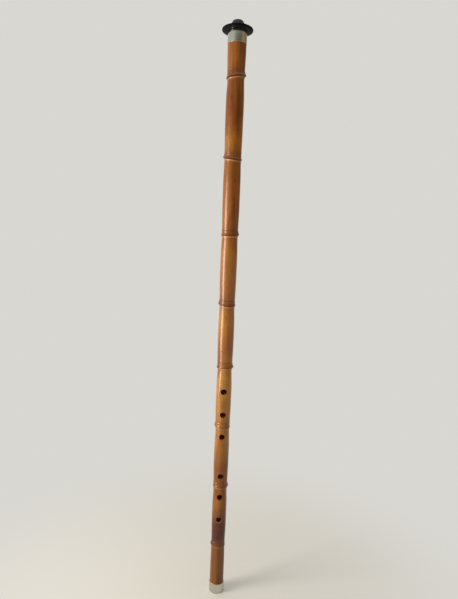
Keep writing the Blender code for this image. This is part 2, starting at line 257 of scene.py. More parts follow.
        bud_x = add_node(tree, "ShaderNodeMath", {0: given[end + " Side"], 1: radius}, operation="MULTIPLY")
        bud_z = add_node(tree, "ShaderNodeMath", {0: given[end + " Lip"], 1: BUD_RISE}, operation="ADD")
        bud_at = add_node(tree, "ShaderNodeCombineXYZ", {"X": bud_x, "Z": bud_z})
        wall = add_node(tree, "ShaderNodeCombineXYZ", {"X": x, "Y": y, "Z": height})
        away = add_node(tree, "ShaderNodeVectorMath", {0: wall, 1: bud_at}, operation="DISTANCE")
        away = add_node(tree, "ShaderNodeMath", {0: away.outputs["Value"], 1: BUD_SPREAD},
                        operation="DIVIDE")
        away = add_node(tree, "ShaderNodeMath", {0: away, 1: 2.0}, operation="POWER")
        away = add_node(tree, "ShaderNodeMath", {0: away, 1: -1.0}, operation="MULTIPLY")
        bud = add_node(tree, "ShaderNodeMath", {0: away}, operation="EXPONENT")
        # An end of the reed has no bud: its side is zero.
        there = add_node(tree, "ShaderNodeMath", {0: given[end + " Side"]}, operation="ABSOLUTE")
        bud = add_node(tree, "ShaderNodeMath", {0: bud, 1: there}, operation="MULTIPLY")
        bud = add_node(tree, "ShaderNodeMath", {0: bud, 1: BUD_HEIGHT}, operation="MULTIPLY")
        bud_total = bud if bud_total is None else add_node(
            tree, "ShaderNodeMath", {0: bud_total, 1: bud}, operation="ADD")
    budded = add_node(tree, "ShaderNodeMath", {0: radius, 1: bud_total}, operation="ADD")
    x = add_node(tree, "ShaderNodeMath", {0: cosine, 1: budded}, operation="MULTIPLY")
    y = add_node(tree, "ShaderNodeMath", {0: sine, 1: budded}, operation="MULTIPLY")

    # A cut end is marked as a metre away, so that it takes none of a node's colours.
    marks = []
    for end, distance in (("Lower", above), ("Upper", below)):
        there = add_node(tree, "ShaderNodeMath", {0: given[end + " Side"]}, operation="ABSOLUTE")
        missing = add_node(tree, "ShaderNodeMath", {0: 1.0, 1: there}, operation="SUBTRACT")
        marks.append(add_node(tree, "ShaderNodeMath", {0: distance, 1: missing}, operation="ADD"))
    from_lips = add_node(tree, "ShaderNodeCombineXYZ", {"X": marks[0], "Y": marks[1]})
    marked = add_node(tree, "GeometryNodeStoreNamedAttribute", {
        "Geometry": grid, "Name": "from_lips", "Value": from_lips}, data_type="FLOAT2", domain="CORNER")
    placed = add_node(tree, "GeometryNodeSetPosition", {
        "Geometry": marked,
        "Position": add_node(tree, "ShaderNodeCombineXYZ", {"X": x, "Y": y, "Z": lifted})})
    real = add_node(tree, "GeometryNodeRealizeInstances", {"Geometry": placed})
    made = add_node(tree, "GeometryNodeSetMaterial", {"Geometry": real, "Material": given["Material"]})
    add_node(tree, "NodeGroupOutput", {"Geometry": made})
    return tree


def grown(name, tree, values):
    """Run a node tree on a new object with these inputs, and return the plain mesh it makes."""
    holder = bpy.data.objects.new(name, bpy.data.meshes.new(name))
    bpy.context.scene.collection.objects.link(holder)
    modifier = holder.modifiers.new(name, "NODES")
    modifier.node_group = tree
    for item in tree.interface.items_tree:
        if item.in_out == "INPUT" and item.name in values:
            modifier[item.identifier] = values[item.name]
    evaluated = holder.evaluated_get(bpy.context.evaluated_depsgraph_get())
    mesh = bpy.data.meshes.new_from_object(evaluated)
    mesh.name = name
    bpy.data.objects.remove(holder)
    return mesh


def turned(name, profile, sides, finish):
    """Turn a closed profile of (radius, height) points about Z, down its outer side first."""
    outline = bpy.data.meshes.new(name + "_profile")
    count = len(profile)
    edges = [(point, (point + 1) % count) for point in range(count)]
    outline.from_pydata([(radius, 0, height) for radius, height in profile], edges, [])
    piece = bpy.data.objects.new(name, outline)
    bpy.context.scene.collection.objects.link(piece)
    screw = piece.modifiers.new("turn", "SCREW")
    screw.axis = "Z"
    screw.steps = sides
    screw.render_steps = sides
    screw.use_merge_vertices = True
    screw.merge_threshold = 0.00001
    evaluated = piece.evaluated_get(bpy.context.evaluated_depsgraph_get())
    mesh = bpy.data.meshes.new_from_object(evaluated)
    mesh.name = name
    piece.modifiers.clear()
    piece.data = mesh
    mesh.materials.clear()
    mesh.materials.append(finish)
    return piece


def bend(start, corner, end, steps):
    """Points after start on the curve that leaves it towards the corner and ends at end."""
    points = []
    for step in range(1, steps + 1):
        share = step / steps
        points.append(tuple(
            a * (1 - share) ** 2 + b * 2 * share * (1 - share) + c * share ** 2
            for a, b, c in zip(start, corner, end)
        ))
    return points


def new_finish(name):
    """A new material and its shader node."""
    finish = bpy.data.materials.new(name)
    finish.use_nodes = True
    return finish, finish.node_tree, finish.node_tree.nodes["Principled BSDF"]


def ramp(tree, value, stops):
    """A colour ramp from (position, hex colour) stops."""
    made = add_node(tree, "ShaderNodeValToRGB", {"Fac": value})
    elements = made.color_ramp.elements
    elements[0].position, elements[0].color = stops[0][0], linear(stops[0][1])
    elements[1].position, elements[1].color = stops[-1][0], linear(stops[-1][1])
    for position, colour in stops[1:-1]:
        elements.new(position).color = linear(colour)
    return made


# Toasted giant reed: the flame has browned the skin unevenly, most around the nodes, and the
# varnish over it gives an even gloss. The fibres run along the culm about 0.4 mm apart.
def varnished_reed():
    finish, tree, shader = new_finish("toasted_giant_reed")
    place = add_node(tree, "ShaderNodeTexCoord").outputs["Object"]
    height = add_node(tree, "ShaderNodeSeparateXYZ", {0: place}).outputs["Z"]
    lips = add_node(tree, "ShaderNodeSeparateXYZ", {
        0: add_node(tree, "ShaderNodeAttribute", attribute_name="from_lips").outputs["Vector"]})
    above, below = lips.outputs["X"], lips.outputs["Y"]

    cloud = add_node(tree, "ShaderNodeTexNoise", {"Vector": add_node(
        tree, "ShaderNodeMapping", {"Vector": place, "Scale": (60.0, 60.0, 22.0)}),
        "Scale": 1.0, "Detail": 3.0, "Roughness": 0.55})
    shift = add_node(tree, "ShaderNodeMapRange", {
        "Value": cloud.outputs[0], "From Min": 0.3, "From Max": 0.7, "To Min": -0.012, "To Max": 0.012})
    drifted = add_node(tree, "ShaderNodeMath", {0: height, 1: shift}, operation="ADD")
    up = add_node(tree, "ShaderNodeMath", {0: drifted, 1: REED_LENGTH}, operation="DIVIDE")
    # Tones by height: burnt over the first node, honey from the third on, and darker again where the flame
    # stayed longer.
    # Over the lower third the tones are also darkened as painted shade, darkest brown at the foot.
    tones_and_foot_shade = (
        (0.068, "#744708"), (0.088, "#4E2204"), (0.106, "#562504"), (0.135, "#8A5809"),
        (0.197, "#7F4A0A"), (0.230, "#A87A20"), (0.330, "#AE7C2C"), (0.366, "#935A1C"),
        (0.410, "#AE7826"), (0.446, "#955C20"), (0.500, "#A46D2A"), (0.611, "#8A5015"),
        (0.659, "#A06A1C"), (0.700, "#875010"), (0.756, "#925C14"),
    )
    skin = ramp(tree, up, [(tone_height / REED_LENGTH, tone) for tone_height, tone in tones_and_foot_shade])

    streaks = add_node(tree, "ShaderNodeTexNoise", {"Vector": add_node(
        tree, "ShaderNodeMapping", {"Vector": place, "Scale": (1100.0, 1100.0, 14.0)}),
        "Scale": 1.0, "Detail": 4.0, "Roughness": 0.6})
    bands = add_node(tree, "ShaderNodeTexNoise", {"Vector": add_node(
        tree, "ShaderNodeMapping", {"Vector": place, "Scale": (230.0, 230.0, 16.0)}),
        "Scale": 1.0, "Detail": 2.0})
    mottle = add_node(tree, "ShaderNodeTexNoise", {"Vector": add_node(
        tree, "ShaderNodeMapping", {"Vector": place, "Scale": (420.0, 420.0, 210.0)}),
        "Scale": 1.0, "Detail": 2.0})
    colour = skin
    for noise, least, most, amount, tint in (
        (streaks, 0.42, 0.72, 0.5, "#BFA486"), (bands, 0.45, 0.62, 0.6, "#E8C09A"),
        (cloud, 0.46, 0.7, 0.75, "#C89C70"), (mottle, 0.58, 0.7, 0.5, "#DCA880"),
    ):
        share = add_node(tree, "ShaderNodeMapRange", {
            "Value": noise.outputs[0], "From Min": least, "From Max": most,
            "To Min": 0.0, "To Max": amount})
        colour = add_node(tree, "ShaderNodeMix", {"Factor": share, "A": colour, "B": linear(tint)},
                          data_type="RGBA", blend_type="MULTIPLY").outputs["Result"]

    # Around a node: a broad red-brown toasting and the scar's dark ring, then painted shade in the groove
    # at the lip's edge, a dark line on both sides of it, and a painted highlight along the ridge under it.
    # They are strong on the toasted upper nodes and faint on the honey-coloured lower ones.
    strength = add_node(tree, "ShaderNodeMapRange", {
        "Value": up, "From Min": 0.36, "From Max": 0.48, "To Min": 0.4, "To Max": 1.0})
    rings = (
        (above, ((0.0, 0.6), (0.12, 0.5), (0.32, 0.22), (0.6, 0.0), (1.0, 0.0)), 0.030, "#6A310E"),
        (below, ((0.0, 0.3), (0.1, 0.25), (0.3, 0.1), (0.6, 0.0), (1.0, 0.0)), 0.030, "#7A3C12"),
        (above, ((0.0, 0.0), (0.52, 0.0), (0.62, 0.1), (0.7, 0.42), (0.78, 0.35), (0.9, 0.1), (1.0, 0.0)),
         LIP_ZONE, "#4A230C"),
        # Painted shade: the dark line in the groove at the lip's edge, above and below it.
        (above, ((0.0, 0.8), (0.3, 0.5), (0.7, 0.08), (1.0, 0.0)), 0.0014, "#4A1F0A"),
        (below, ((0.0, 0.95), (0.12, 0.9), (0.2, 0.3), (0.3, 0.0), (1.0, 0.0)), 0.0045, "#421B08"),
        # Painted highlight: the pale line along the ridge under the lip.
        (below, ((0.0, 0.0), (0.22, 0.0), (0.34, 0.48), (0.5, 0.36), (0.8, 0.05), (1.0, 0.0)),
         0.0045, "#CF9C60"),
    )
    for distance, shares, reach, tint in rings:
        share = add_node(tree, "ShaderNodeFloatCurve", {"Value": add_node(
            tree, "ShaderNodeMath", {0: distance, 1: reach}, operation="DIVIDE", use_clamp=True)})
        set_curve(share, shares)
        share = add_node(tree, "ShaderNodeMath", {0: share, 1: strength}, operation="MULTIPLY")
        colour = add_node(tree, "ShaderNodeMix", {
            "Factor": share, "A": colour, "B": linear(tint)}, data_type="RGBA").outputs["Result"]
    tree.links.new(colour, shader.inputs["Base Color"])

    fibres = add_node(tree, "ShaderNodeTexNoise", {"Vector": add_node(
        tree, "ShaderNodeMapping", {"Vector": place, "Scale": (2500.0, 2500.0, 30.0)}),
        "Scale": 1.0, "Detail": 3.0})
    rough = add_node(tree, "ShaderNodeMapRange", {
        "Value": streaks.outputs[0], "From Min": 0.3, "From Max": 0.7, "To Min": 0.42, "To Max": 0.55})
    tree.links.new(rough.outputs[0], shader.inputs["Roughness"])
    relief = add_node(tree, "ShaderNodeBump", {
        "Strength": 0.35, "Distance": 0.00006, "Height": fibres.outputs[0]})
    relief = add_node(tree, "ShaderNodeBump", {
        "Strength": 0.5, "Distance": 0.0003, "Height": cloud.outputs[0], "Normal": relief})
    tree.links.new(relief.outputs[0], shader.inputs["Normal"])
    # The gloss is the varnish's, and the reed under it has none of its own.
    shader.inputs["Specular IOR Level"].default_value = 0.0
    shader.inputs["Coat Weight"].default_value = 0.95
    shader.inputs["Coat Roughness"].default_value = 0.28
    return finish


# The reed's inside is dull and fibrous: pale where it was cut last, orange-brown in the oiled
# bore.
def inner_reed(name, stops):
    finish, tree, shader = new_finish(name)
    place = add_node(tree, "ShaderNodeTexCoord").outputs["Object"]
    fibres = add_node(tree, "ShaderNodeTexNoise", {"Vector": add_node(
        tree, "ShaderNodeMapping", {"Vector": place, "Scale": (1600.0, 1600.0, 60.0)}),
        "Scale": 1.0, "Detail": 4.0})
    colour = ramp(tree, fibres.outputs[0], stops)
    tree.links.new(colour.outputs[0], shader.inputs["Base Color"])
    relief = add_node(tree, "ShaderNodeBump", {
        "Strength": 0.6, "Distance": 0.0002, "Height": fibres.outputs[0]})
    tree.links.new(relief.outputs[0], shader.inputs["Normal"])
    shader.inputs["Roughness"].default_value = 0.75
    return finish


# The holes are burnt through with a hot iron, which leaves their walls charred.
def charred_reed():
    finish, tree, shader = new_finish("charred_hole_wall")
    place = add_node(tree, "ShaderNodeTexCoord").outputs["Object"]
    soot = add_node(tree, "ShaderNodeTexNoise", {"Vector": place, "Scale": 900.0, "Detail": 4.0})
    colour = ramp(tree, soot.outputs[0], ((0.3, "#4A1608"), (0.6, "#6E2A10"), (0.8, "#8A401C")))
    tree.links.new(colour.outputs[0], shader.inputs["Base Color"])
    relief = add_node(tree, "ShaderNodeBump", {
        "Strength": 0.5, "Distance": 0.0001, "Height": soot.outputs[0]})
    tree.links.new(relief.outputs[0], shader.inputs["Normal"])
    shader.inputs["Roughness"].default_value = 0.7
    shader.inputs["Specular IOR Level"].default_value = 0.2
    return finish


def culm_radius(height):
    return (FOOT_DIAMETER + (CROWN_DIAMETER - FOOT_DIAMETER) * height / REED_LENGTH) / 2


def bore_radius(height):
    return culm_radius(height) - (FOOT_WALL + (CROWN_WALL - FOOT_WALL) * height / REED_LENGTH)


reed_finish = varnished_reed()
bore_finish = inner_reed("oiled_bore", ((0.3, "#D07E42"), (0.55, "#E29452"), (0.75, "#ECA868")))
raw_finish = inner_reed("raw_reed_pith", ((0.3, "#8E6638"), (0.55, "#B58C55"), (0.75, "#CBA570")))
internode_tree = grow_internode_tree()
heel = FOOT_RING_LENGTH + SEAT_CLEARANCE
shoulder = REED_LENGTH - TOP_RING_LENGTH - SEAT_CLEARANCE
# The reed's two cut ends close the row of lips, with no lip, neck or bud of their own.
ends = [(heel, 0.0, 0.0, 0.0, 0.0)] + list(NODES) + [(shoulder, 0.0, 0.0, 0.0, 0.0)]
reed_mesh = bmesh.new()
for index in range(len(ends) - 1):
    lower, upper = ends[index], ends[index + 1]
    mesh = grown(f"internode_{index + 1}", internode_tree, {
        "Lower Lip": lower[0], "Lower Slant": lower[1], "Lower Tilt": lower[2], "Lower Over": lower[3],
        "Upper Lip": upper[0], "Upper Slant": upper[1], "Upper Tilt": upper[2], "Upper Over": upper[3],
        "Lower Side": 0.0 if index == 0 else (-1.0 if index % 2 else 1.0),
        "Upper Side": 0.0 if index == len(NODES) else (1.0 if index % 2 else -1.0),
        "Waist Drop": 0.0 if index == 0 else WAIST_DROP, "Neck Drop": upper[4],
        "Foot Radius": FOOT_DIAMETER / 2, "Crown Radius": CROWN_DIAMETER / 2,
        "Reed Length": REED_LENGTH, "Seed": WOBBLE_SEED, "Material": reed_finish,
    })
    reed_mesh.from_mesh(mesh)
    bpy.data.meshes.remove(mesh)
for face in reed_mesh.faces:
    face.material_index = 0

# The bore with its diaphragm rings, the socket and the seats of the two rings: an open turned
# sheet whose two edges meet the culm's ends.
top_seat = TOP_RING_RADIUS - RING_WALL - SEAT_CLEARANCE
foot_seat = FOOT_RING_RADIUS - RING_WALL - SEAT_CLEARANCE
bore = [(culm_radius(heel), heel), (foot_seat, heel), (foot_seat, 0.0), (bore_radius(0), 0.0)]
for node in NODES:
    height = node[0]
    opening = (TOP_DIAPHRAGM_OPENING if node is NODES[-1] else DIAPHRAGM_OPENING) / 2
    low, high = height - DIAPHRAGM_REACH, height + DIAPHRAGM_REACH
    under, over = (opening, height - DIAPHRAGM_HALF), (opening, height + DIAPHRAGM_HALF)
    bore.append((bore_radius(low), low))
    bore += bend(bore[-1], (opening, height - DIAPHRAGM_CORNER), under, 4)
    bore += bend(under, (opening - DIAPHRAGM_CROWN, height), over, 3)
    bore += bend(over, (opening, height + DIAPHRAGM_CORNER), (bore_radius(high), high), 4)
bore += [(SOCKET_RADIUS, REED_LENGTH - SOCKET_DEPTH), (SOCKET_RADIUS, REED_LENGTH),
         (top_seat, REED_LENGTH), (top_seat, shoulder), (culm_radius(shoulder), shoulder)]
rows = []
for radius, height in bore:
    row = []
    for side in range(REED_SIDES):
        angle = math.tau * side / REED_SIDES
        x, y = radius * math.cos(angle), radius * math.sin(angle)
        for index, node in enumerate(NODES):
            share = max(0.0, 1 - abs(height - node[0]) / SLANT_REACH)
            share = share * share * (3 - 2 * share)
            slope = math.tan(math.radians(node[1])) * (1 if index % 2 else -1)
            tilt = math.tan(math.radians(node[2]))
            height += (slope * x - tilt * y) * share * (radius < SOCKET_RADIUS)
        row.append(reed_mesh.verts.new((x, y, height)))
        height = bore[len(rows)][1]
    rows.append(row)
for lower_row, upper_row in zip(rows, rows[1:]):
    for side in range(REED_SIDES):
        following = (side + 1) % REED_SIDES
        face = reed_mesh.faces.new(
            (lower_row[side], upper_row[side], upper_row[following], lower_row[following]))
        face.material_index = 1
bmesh.ops.remove_doubles(reed_mesh, verts=reed_mesh.verts, dist=0.000004)
bmesh.ops.recalc_face_normals(reed_mesh, faces=reed_mesh.faces)
reed = bpy.data.objects.new("toasted_reed", bpy.data.meshes.new("toasted_reed"))
bpy.context.scene.collection.objects.link(reed)
reed_mesh.to_mesh(reed.data)
reed_mesh.free()
reed.data.materials.append(reed_finish)
reed.data.materials.append(bore_finish)

# Six finger holes in front and the thumb hole behind, each with its mouth eased by the iron.
HOLE_HEIGHTS = (0.1168, 0.1518, 0.1836, 0.2436, 0.2767, 0.3110)
THUMB_HOLE_HEIGHT = 0.4020
HOLE_SIDES = 48
# Each ring of a cutter: its radius, and how far out of the culm's wall it lies.
HOLE_RINGS = ((0.00415, -0.0075), (0.00415, -0.0007), (0.0042, -0.00035), (0.00435, -0.0001),
              (0.00462, 0.00008), (0.00485, 0.0003), (0.00485, 0.003))
# From this ring out the eased mouth shows bare reed, paler than the varnished skin.
EASED_RING = 2
cutter_mesh = bmesh.new()
for height, side in [(height, -1) for height in HOLE_HEIGHTS] + [(THUMB_HOLE_HEIGHT, 1)]:
    rings = []
    for radius, out in HOLE_RINGS:
        ring = []
        for step in range(HOLE_SIDES):
            angle = math.tau * step / HOLE_SIDES
            x = radius * math.cos(angle)
            wall = math.sqrt(culm_radius(height) ** 2 - x * x)
            ring.append(cutter_mesh.verts.new((x, side * (wall + out), height + radius * math.sin(angle))))
        rings.append(ring)
    for number, (inner_ring, outer_ring) in enumerate(zip(rings, rings[1:])):
        for step in range(HOLE_SIDES):
            following = (step + 1) % HOLE_SIDES
            face = cutter_mesh.faces.new(
                (inner_ring[step], outer_ring[step], outer_ring[following], inner_ring[following]))
            face.material_index = int(number >= EASED_RING)
    cutter_mesh.faces.new(rings[0])
    cutter_mesh.faces.new(rings[-1])
bmesh.ops.recalc_face_normals(cutter_mesh, faces=cutter_mesh.faces)
cutter = bpy.data.objects.new("hole_cutter", bpy.data.meshes.new("hole_cutter"))
bpy.context.scene.collection.objects.link(cutter)
cutter_mesh.to_mesh(cutter.data)
cutter_mesh.free()
cutter.data.materials.append(charred_reed())
cutter.data.materials.append(raw_finish)
cut = reed.modifiers.new("holes", "BOOLEAN")
cut.operation = "DIFFERENCE"
cut.object = cutter
cut.solver = "EXACT"
cut.material_mode = "TRANSFER"
evaluated = reed.evaluated_get(bpy.context.evaluated_depsgraph_get())
cut_mesh = bpy.data.meshes.new_from_object(evaluated)
reed.modifiers.clear()
reed.data = cut_mesh
bpy.data.objects.remove(cutter)
reed.data.shade_smooth()
reed.data.set_sharp_from_angle(angle=math.radians(50))
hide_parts("reed_body")
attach(reed, "reed")


# The two rings are drawn nickel-silver tube, slipped over the reed's turned-down ends, edges
# eased, and polished on the lathe, which leaves fine lines round them about 0.15 mm apart.
def polished_ring():
    finish, tree, shader = new_finish("polished_nickel_silver")
    place = add_node(tree, "ShaderNodeTexCoord").outputs["Object"]
    lines = add_node(tree, "ShaderNodeTexNoise", {"Vector": add_node(
        tree, "ShaderNodeMapping", {"Vector": place, "Scale": (60.0, 60.0, 6500.0)}),
        "Scale": 1.0, "Detail": 3.0})
    dull = add_node(tree, "ShaderNodeTexNoise", {"Vector": place, "Scale": 120.0, "Detail": 3.0})
    colour = ramp(tree, dull.outputs[0], ((0.3, "#C3C1B5"), (0.55, "#CBCABF"), (0.75, "#D0CFC6")))
    tree.links.new(colour.outputs[0], shader.inputs["Base Color"])
    rough = add_node(tree, "ShaderNodeMapRange", {
        "Value": dull.outputs[0], "From Min": 0.3, "From Max": 0.7, "To Min": 0.2, "To Max": 0.15})
    tree.links.new(rough.outputs[0], shader.inputs["Roughness"])
    relief = add_node(tree, "ShaderNodeBump", {
        "Strength": 0.05, "Distance": 0.00001, "Height": lines.outputs[0]})
    tree.links.new(relief.outputs[0], shader.inputs["Normal"])
    shader.inputs["Metallic"].default_value = 1.0
    return finish


RING_EDGE = 0.00022
RING_SIDES = 160
ring_finish = polished_ring()
for name, node, radius, bottom, top in (
    ("top_ring", "top_ferrule", TOP_RING_RADIUS, REED_LENGTH - TOP_RING_LENGTH, REED_LENGTH),
    ("foot_ring", "bottom_ferrule", FOOT_RING_RADIUS, 0.0, FOOT_RING_LENGTH),
):
    inner = radius - RING_WALL
    profile = [(inner, top), (radius - RING_EDGE, top)]
    profile += bend(profile[-1], (radius, top), (radius, top - RING_EDGE), 4)
    profile.append((radius, bottom + RING_EDGE))
    profile += bend(profile[-1], (radius, bottom), (radius - RING_EDGE, bottom), 4)
    profile.append((inner, bottom))
    ring = turned(name, profile, RING_SIDES, ring_finish)
    ring.data.shade_smooth()
    ring.data.set_sharp_from_angle(angle=math.radians(40))
    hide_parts(node)
    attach(ring, "reed")


# The lapping is waxed cotton thread wound close round the mouthpiece's tenon, so that the
# tenon grips in the reed. It shows only when the mouthpiece is drawn out.
LAPPING_TURNS = 24
LAPPING_RADIUS = 0.0083
GROOVE_TOP = REED_LENGTH - 0.0030
GROOVE_FOOT = GROOVE_TOP - 0.0125
LAPPING_TOP = GROOVE_TOP - SEAT_CLEARANCE
LAPPING_FOOT = GROOVE_FOOT + SEAT_CLEARANCE
THREAD_RADIUS = 0.00026


def waxed_thread():
    finish, tree, shader = new_finish("waxed_cotton_thread")
    place = add_node(tree, "ShaderNodeTexCoord").outputs["Object"]
    fibre = add_node(tree, "ShaderNodeTexNoise", {"Vector": place, "Scale": 2600.0, "Detail": 3.0})
    colour = ramp(tree, fibre.outputs[0], ((0.3, "#8F7444"), (0.55, "#BFA067"), (0.8, "#D6BC86")))
    tree.links.new(colour.outputs[0], shader.inputs["Base Color"])
    relief = add_node(tree, "ShaderNodeBump", {
        "Strength": 0.5, "Distance": 0.00008, "Height": fibre.outputs[0]})
    tree.links.new(relief.outputs[0], shader.inputs["Normal"])
    shader.inputs["Roughness"].default_value = 0.55
    shader.inputs["Sheen Weight"].default_value = 0.15
    return finish


def wind_thread_tree():
    """Thread wound in close turns over a plain core."""
    tree = bpy.data.node_groups.new("wind_thread", "GeometryNodeTree")
    tree.is_modifier = True
    tree.interface.new_socket("Geometry", in_out="OUTPUT", socket_type="NodeSocketGeometry")
    for size in ("Radius", "Foot", "Top", "Turns", "Thread Radius"):
        tree.interface.new_socket(size, in_out="INPUT", socket_type="NodeSocketFloat")
    tree.interface.new_socket("Material", in_out="INPUT", socket_type="NodeSocketMaterial")
    given = add_node(tree, "NodeGroupInput").outputs
    line = add_node(tree, "ShaderNodeMath", {0: given["Radius"], 1: given["Thread Radius"]},
                    operation="SUBTRACT")
    tall = add_node(tree, "ShaderNodeMath", {0: given["Top"], 1: given["Foot"]}, operation="SUBTRACT")
    thread = add_node(tree, "ShaderNodeMath", {0: given["Thread Radius"], 1: 2.0}, operation="MULTIPLY")
    coil = add_node(tree, "ShaderNodeMath", {0: tall, 1: thread}, operation="SUBTRACT")
    spiral = add_node(tree, "GeometryNodeCurveSpiral", {
        "Resolution": 40, "Rotations": given["Turns"], "Start Radius": line, "End Radius": line,
        "Height": coil})
    thread = add_node(tree, "GeometryNodeCurveToMesh", {
        "Curve": spiral, "Fill Caps": True,
        "Profile Curve": add_node(tree, "GeometryNodeCurvePrimitiveCircle", {
            "Resolution": 8, "Radius": given["Thread Radius"]})})
    lift = add_node(tree, "ShaderNodeMath", {0: given["Foot"], 1: given["Thread Radius"]}, operation="ADD")
    raised = add_node(tree, "GeometryNodeTransform", {
        "Geometry": thread, "Translation": add_node(tree, "ShaderNodeCombineXYZ", {"Z": lift})})
    core = add_node(tree, "GeometryNodeMeshCylinder", {"Vertices": 64, "Radius": line, "Depth": tall})
    centre = add_node(tree, "ShaderNodeMath", {0: given["Top"], 1: given["Foot"]}, operation="ADD")
    centre = add_node(tree, "ShaderNodeMath", {0: centre, 1: 0.5}, operation="MULTIPLY")
    cored = add_node(tree, "GeometryNodeTransform", {
        "Geometry": core, "Translation": add_node(tree, "ShaderNodeCombineXYZ", {"Z": centre})})
    both = add_node(tree, "GeometryNodeJoinGeometry")
    tree.links.new(raised.outputs[0], both.inputs[0])
    tree.links.new(cored.outputs[0], both.inputs[0])
    real = add_node(tree, "GeometryNodeRealizeInstances", {"Geometry": both})
    made = add_node(tree, "GeometryNodeSetMaterial", {"Geometry": real, "Material": given["Material"]})
    add_node(tree, "NodeGroupOutput", {"Geometry": made})
    return tree


lapping_mesh = grown("thread_lapping", wind_thread_tree(), {
    "Radius": LAPPING_RADIUS, "Foot": LAPPING_FOOT, "Top": LAPPING_TOP, "Turns": float(LAPPING_TURNS),
    "Thread Radius": THREAD_RADIUS, "Material": waxed_thread(),
})
lapping_mesh.shade_smooth()
lapping = bpy.data.objects.new("thread_lapping", lapping_mesh)
bpy.context.scene.collection.objects.link(lapping)
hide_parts("tenon_winding")
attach(lapping, "lapping")


# The mouthpiece is turned from one piece of black horn: a broad brim that seats on the top
# ring, a coved cone whose rim is the blowing edge, and a tenon. It is polished to a deep gloss.
def black_horn():
    finish, tree, shader = new_finish("polished_black_horn")
    place = add_node(tree, "ShaderNodeTexCoord").outputs["Object"]
    grain = add_node(tree, "ShaderNodeTexNoise", {"Vector": add_node(
        tree, "ShaderNodeMapping", {"Vector": place, "Scale": (160.0, 420.0, 60.0)}),
        "Scale": 1.0, "Detail": 5.0, "Distortion": 0.4})
    colour = ramp(tree, grain.outputs[0], ((0.35, "#060607"), (0.6, "#0B0A0C"), (0.8, "#15110F")))
    # The cone above its foot is painted a dull grey as a painted reflection of the pale room over it, and
    # is made a little rougher there.
    painted_cone_reflection = add_node(tree, "ShaderNodeMapRange", {
        "Value": add_node(tree, "ShaderNodeSeparateXYZ", {0: place}).outputs["Z"],
        "From Min": CONE_FOOT + 0.0004, "From Max": CONE_COVE})
    colour = add_node(tree, "ShaderNodeMix", {
        "Factor": painted_cone_reflection, "A": colour, "B": linear("#3E3E3C")}, data_type="RGBA")
    tree.links.new(colour.outputs["Result"], shader.inputs["Base Color"])
    rough = add_node(tree, "ShaderNodeMapRange", {
        "Value": grain.outputs[0], "From Min": 0.3, "From Max": 0.7, "To Min": 0.4, "To Max": 0.5})
    rough = add_node(tree, "ShaderNodeMath", {0: rough, 1: add_node(
        tree, "ShaderNodeMath", {0: painted_cone_reflection, 1: 0.12}, operation="MULTIPLY")}, operation="ADD")
    tree.links.new(rough.outputs[0], shader.inputs["Roughness"])
    lines = add_node(tree, "ShaderNodeTexNoise", {"Vector": add_node(
        tree, "ShaderNodeMapping", {"Vector": place, "Scale": (40.0, 40.0, 5000.0)}),
        "Scale": 1.0, "Detail": 2.0})
    relief = add_node(tree, "ShaderNodeBump", {
        "Strength": 0.15, "Distance": 0.00003, "Height": lines.outputs[0]})
    tree.links.new(relief.outputs[0], shader.inputs["Normal"])
    shader.inputs["Specular IOR Level"].default_value = 0.06
    return finish


BRIM_RADIUS = 0.0210
BRIM_EDGE = 0.0015
BRIM_WIDEST = REED_LENGTH + 0.0028
CONE_FOOT = BRIM_WIDEST + 0.0026
CONE_COVE = CONE_FOOT + 0.0030
CONE_RIM = CONE_FOOT + 0.0092
CONE_BASE_RADIUS = 0.0122
CONE_WAIST_RADIUS = 0.0098
CONE_TOP_RADIUS = 0.0071
CONE_BULGE = 0.0007
LIP_LAND = 0.0012
TENON_RADIUS = 0.0079
GROOVE_DEPTH = 0.0006
TENON_FOOT = REED_LENGTH - 0.0190
TENON_CHAMFER = 0.0008
THROAT_RADIUS = 0.0047
FUNNEL_FOOT = CONE_RIM - 0.0090
mouth = CONE_TOP_RADIUS - LIP_LAND
inset = BRIM_RADIUS - BRIM_EDGE
above_edge, below_edge = BRIM_WIDEST + BRIM_EDGE, BRIM_WIDEST - BRIM_EDGE
seat = (TOP_RING_RADIUS - RING_EDGE, REED_LENGTH + SEAT_CLEARANCE)
sagged = ((inset + seat[0]) / 2, (below_edge + seat[1]) / 2 - 0.0004)
profile = [(mouth, CONE_RIM)]
profile += bend(profile[-1], (CONE_TOP_RADIUS, CONE_RIM), (CONE_TOP_RADIUS, CONE_RIM - LIP_LAND), 6)
swell = ((CONE_TOP_RADIUS + CONE_WAIST_RADIUS) / 2 + CONE_BULGE,
         (CONE_RIM - LIP_LAND + CONE_COVE) / 2 + CONE_BULGE)
profile += bend(profile[-1], swell, (CONE_WAIST_RADIUS, CONE_COVE), 8)
profile += bend(profile[-1], (CONE_WAIST_RADIUS, CONE_FOOT), (CONE_BASE_RADIUS, CONE_FOOT), 10)
profile += bend(profile[-1], ((CONE_BASE_RADIUS + inset) / 2, CONE_FOOT), (inset, above_edge), 12)
profile += bend(profile[-1], (BRIM_RADIUS, above_edge), (BRIM_RADIUS, BRIM_WIDEST), 6)
profile += bend(profile[-1], (BRIM_RADIUS, below_edge), (inset, below_edge), 6)
profile += bend(profile[-1], sagged, seat, 12)
profile += [
    (TENON_RADIUS, REED_LENGTH + SEAT_CLEARANCE),
    (TENON_RADIUS, GROOVE_TOP),
    (TENON_RADIUS - GROOVE_DEPTH, GROOVE_TOP),
    (TENON_RADIUS - GROOVE_DEPTH, GROOVE_FOOT),
    (TENON_RADIUS, GROOVE_FOOT),
    (TENON_RADIUS, TENON_FOOT + TENON_CHAMFER),
    (TENON_RADIUS - TENON_CHAMFER, TENON_FOOT),
    (THROAT_RADIUS, TENON_FOOT),
    (THROAT_RADIUS, FUNNEL_FOOT),
]
